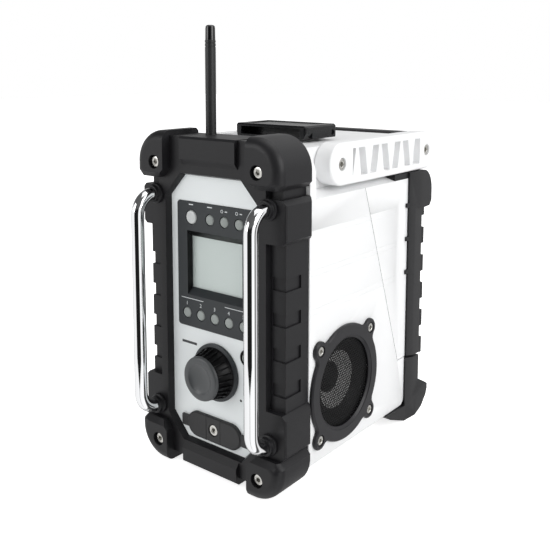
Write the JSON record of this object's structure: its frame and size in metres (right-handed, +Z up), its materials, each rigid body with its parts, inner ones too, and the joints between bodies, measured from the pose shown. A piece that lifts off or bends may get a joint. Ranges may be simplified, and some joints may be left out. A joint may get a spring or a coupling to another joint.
{
  "type": "jobsite radio",
  "caption": "Upright guarded jobsite radio with side speakers, fold-up handle, roll bars, flexible antenna, control panel and hinged rear battery cabinet.",
  "frame": {"origin": "on the ground, under the middle of the radio's outline with its handle lowered", "axes": "+Z up along the antenna, -Y towards the control panel, +X towards the right speaker"},
  "size_m": [0.163, 0.2816, 0.3915],
  "materials": {
    "white_shell": "satin white moulded plastic",
    "front_panel": "satin light grey-white panel",
    "guard_plastic": "charcoal tough plastic with a soft sheen",
    "bar_chrome": "mirror chrome tube",
    "plate_charcoal": "charcoal control plastic",
    "ring_charcoal": "charcoal ring with a soft sheen",
    "lens_clear": "clear flat lens",
    "display_grey": "grey-green liquid crystal display",
    "button_grey": "grey-green rubber keys",
    "button_silver": "pale silver key",
    "bolt_steel": "zinc-plated steel",
    "mesh_steel": "black perforated steel",
    "speaker_basket": "black pressed steel",
    "cone_black": "dark paper cone",
    "board_green": "circuit board",
    "inner_black": "black inner plastic"
  },
  "bodies": {
    "radio": {"antenna_rod": "guard_plastic", "antenna_socket": "guard_plastic", "aux_jack": "inner_black", "battery_terminal": "inner_black", "bay_bulkhead": "inner_black", "bumper_bottom_left": "guard_plastic", "bumper_bottom_right": "guard_plastic", "bumper_top_left": "guard_plastic", "bumper_top_right": "guard_plastic", "control_board": "board_green", "control_plate": "plate_charcoal", "display_lens": "lens_clear", "display_module": "display_grey", "front_bolts": "bolt_steel", "front_guard": "guard_plastic", "front_housing": "white_shell", "front_panel": "front_panel", "hinge_pin": "bolt_steel", "menu_button_ring": "plate_charcoal", "port_cover_hub": "plate_charcoal", "power_inlet": "inner_black", "rear_foot_left": "guard_plastic", "rear_foot_right": "guard_plastic", "roll_bar_collars": "guard_plastic", "roll_bar_left": "bar_chrome", "roll_bar_right": "bar_chrome", "speaker_basket_left": "speaker_basket", "speaker_basket_right": "speaker_basket", "speaker_bolts": "bolt_steel", "speaker_cone_left": "cone_black", "speaker_cone_right": "cone_black", "speaker_housing": "white_shell", "speaker_mesh_left": "mesh_steel", "speaker_mesh_right": "mesh_steel", "speaker_ring_left": "ring_charcoal", "speaker_ring_right": "ring_charcoal", "volume_encoder": "bolt_steel"},
    "battery_cabinet": {"battery_housing": "white_shell", "rear_guard_left": "guard_plastic", "rear_guard_right": "guard_plastic", "latch_pin": "bolt_steel", "handle_pivot_bolts": "bolt_steel"},
    "latch": {"latch_lever": "guard_plastic"},
    "handle": {"handle_arm_left": "white_shell", "handle_arm_right": "white_shell", "handle_grip": "guard_plastic", "handle_grip_bolts": "bolt_steel"},
    "knob": {"volume_knob": "plate_charcoal"},
    "left_flap": {"port_flap_left": "plate_charcoal"},
    "right_flap": {"port_flap_right": "plate_charcoal"},
    "power_key": {"power_button": "button_silver"},
    "source_key": {"source_button": "button_grey"},
    "alarm_a_key": {"alarm_a_button": "button_grey"},
    "alarm_b_key": {"alarm_b_button": "button_grey"},
    "menu_key": {"menu_button": "button_grey"},
    "preset_key_1": {"preset_button_1": "button_grey"},
    "preset_key_2": {"preset_button_2": "button_grey"},
    "preset_key_3": {"preset_button_3": "button_grey"},
    "preset_key_4": {"preset_button_4": "button_grey"},
    "preset_key_5": {"preset_button_5": "button_grey"}
  },
  "joints": [
    {"name": "battery_cabinet_hinge", "type": "hinge", "parent": "radio", "child": "battery_cabinet", "pos_m": [0, 0.12268, 0.064], "axis": [-1, 0, 0], "range_deg": [0, 90]},
    {"name": "latch_hinge", "type": "hinge", "parent": "battery_cabinet", "child": "latch", "pos_m": [0, 0.01018, 0.296], "axis": [-1, 0, 0], "range_deg": [0, 60], "stiffness_Nm_per_rad": 0.05},
    {"name": "handle_hinge", "type": "hinge", "parent": "battery_cabinet", "child": "handle", "pos_m": [0, -0.03083, 0.2729], "axis": [1, 0, 0], "range_deg": [0, 110]},
    {"name": "volume_turn", "type": "hinge", "parent": "radio", "child": "knob", "pos_m": [0.0012, -0.10633, 0.0925], "axis": [0, -1, 0], "continuous": true},
    {"name": "left_flap_hinge", "type": "hinge", "parent": "radio", "child": "left_flap", "pos_m": [-0.00905, -0.10983, 0.0395], "axis": [0, 0, 1], "range_deg": [0, 90]},
    {"name": "right_flap_hinge", "type": "hinge", "parent": "radio", "child": "right_flap", "pos_m": [0.00785, -0.10983, 0.0395], "axis": [0, 0, -1], "range_deg": [0, 90]},
    {"name": "power_button_press", "type": "slide", "parent": "radio", "child": "power_key", "axis": [0, 1, 0], "range_m": [0, 0.001], "stiffness_N_per_m": 400},
    {"name": "source_button_press", "type": "slide", "parent": "radio", "child": "source_key", "axis": [0, 1, 0], "range_m": [0, 0.001], "stiffness_N_per_m": 400},
    {"name": "alarm_a_button_press", "type": "slide", "parent": "radio", "child": "alarm_a_key", "axis": [0, 1, 0], "range_m": [0, 0.001], "stiffness_N_per_m": 400},
    {"name": "alarm_b_button_press", "type": "slide", "parent": "radio", "child": "alarm_b_key", "axis": [0, 1, 0], "range_m": [0, 0.001], "stiffness_N_per_m": 400},
    {"name": "menu_button_press", "type": "slide", "parent": "radio", "child": "menu_key", "axis": [0, 1, 0], "range_m": [0, 0.001], "stiffness_N_per_m": 400},
    {"name": "preset_button_1_press", "type": "slide", "parent": "radio", "child": "preset_key_1", "axis": [0, 1, 0], "range_m": [0, 0.001], "stiffness_N_per_m": 400},
    {"name": "preset_button_2_press", "type": "slide", "parent": "radio", "child": "preset_key_2", "axis": [0, 1, 0], "range_m": [0, 0.001], "stiffness_N_per_m": 400},
    {"name": "preset_button_3_press", "type": "slide", "parent": "radio", "child": "preset_key_3", "axis": [0, 1, 0], "range_m": [0, 0.001], "stiffness_N_per_m": 400},
    {"name": "preset_button_4_press", "type": "slide", "parent": "radio", "child": "preset_key_4", "axis": [0, 1, 0], "range_m": [0, 0.001], "stiffness_N_per_m": 400},
    {"name": "preset_button_5_press", "type": "slide", "parent": "radio", "child": "preset_key_5", "axis": [0, 1, 0], "range_m": [0, 0.001], "stiffness_N_per_m": 400}
  ]
}
